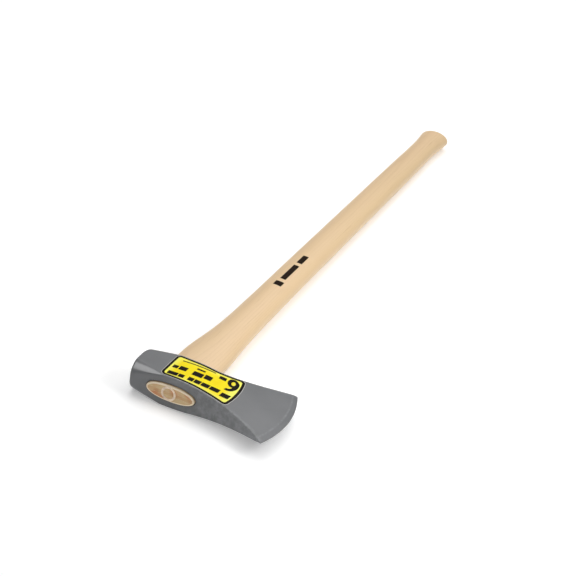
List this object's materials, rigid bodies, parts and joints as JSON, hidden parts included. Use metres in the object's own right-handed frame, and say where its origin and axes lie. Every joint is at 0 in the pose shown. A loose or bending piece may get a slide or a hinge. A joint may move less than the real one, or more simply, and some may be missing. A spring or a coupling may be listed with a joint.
{
  "type": "splitting maul",
  "caption": "Long-handled splitting maul: wedge-shaped steel head with a poll and a flared bit, wedged onto a straight oval wooden handle with a flared butt.",
  "frame": {"origin": "middle of the underside of the bounding box, with the maul lying on its plain cheek", "axes": "+X towards the bit, +Y along the handle from the head to the butt, +Z out of the labelled cheek"},
  "size_m": [0.211, 0.9384, 0.0455],
  "materials": {
    "head": "satin grey paint on forged steel",
    "handle": "clear-lacquered pale hickory",
    "wood_wedge": "bare hardwood",
    "ring_wedge": "steel under clear lacquer",
    "label": "printed yellow sticker with a black border"
  },
  "bodies": {
    "root": {"head": "head", "handle": "handle", "wood_wedge": "wood_wedge", "ring_wedge": "ring_wedge", "label": "label"}
  },
  "joints": []
}
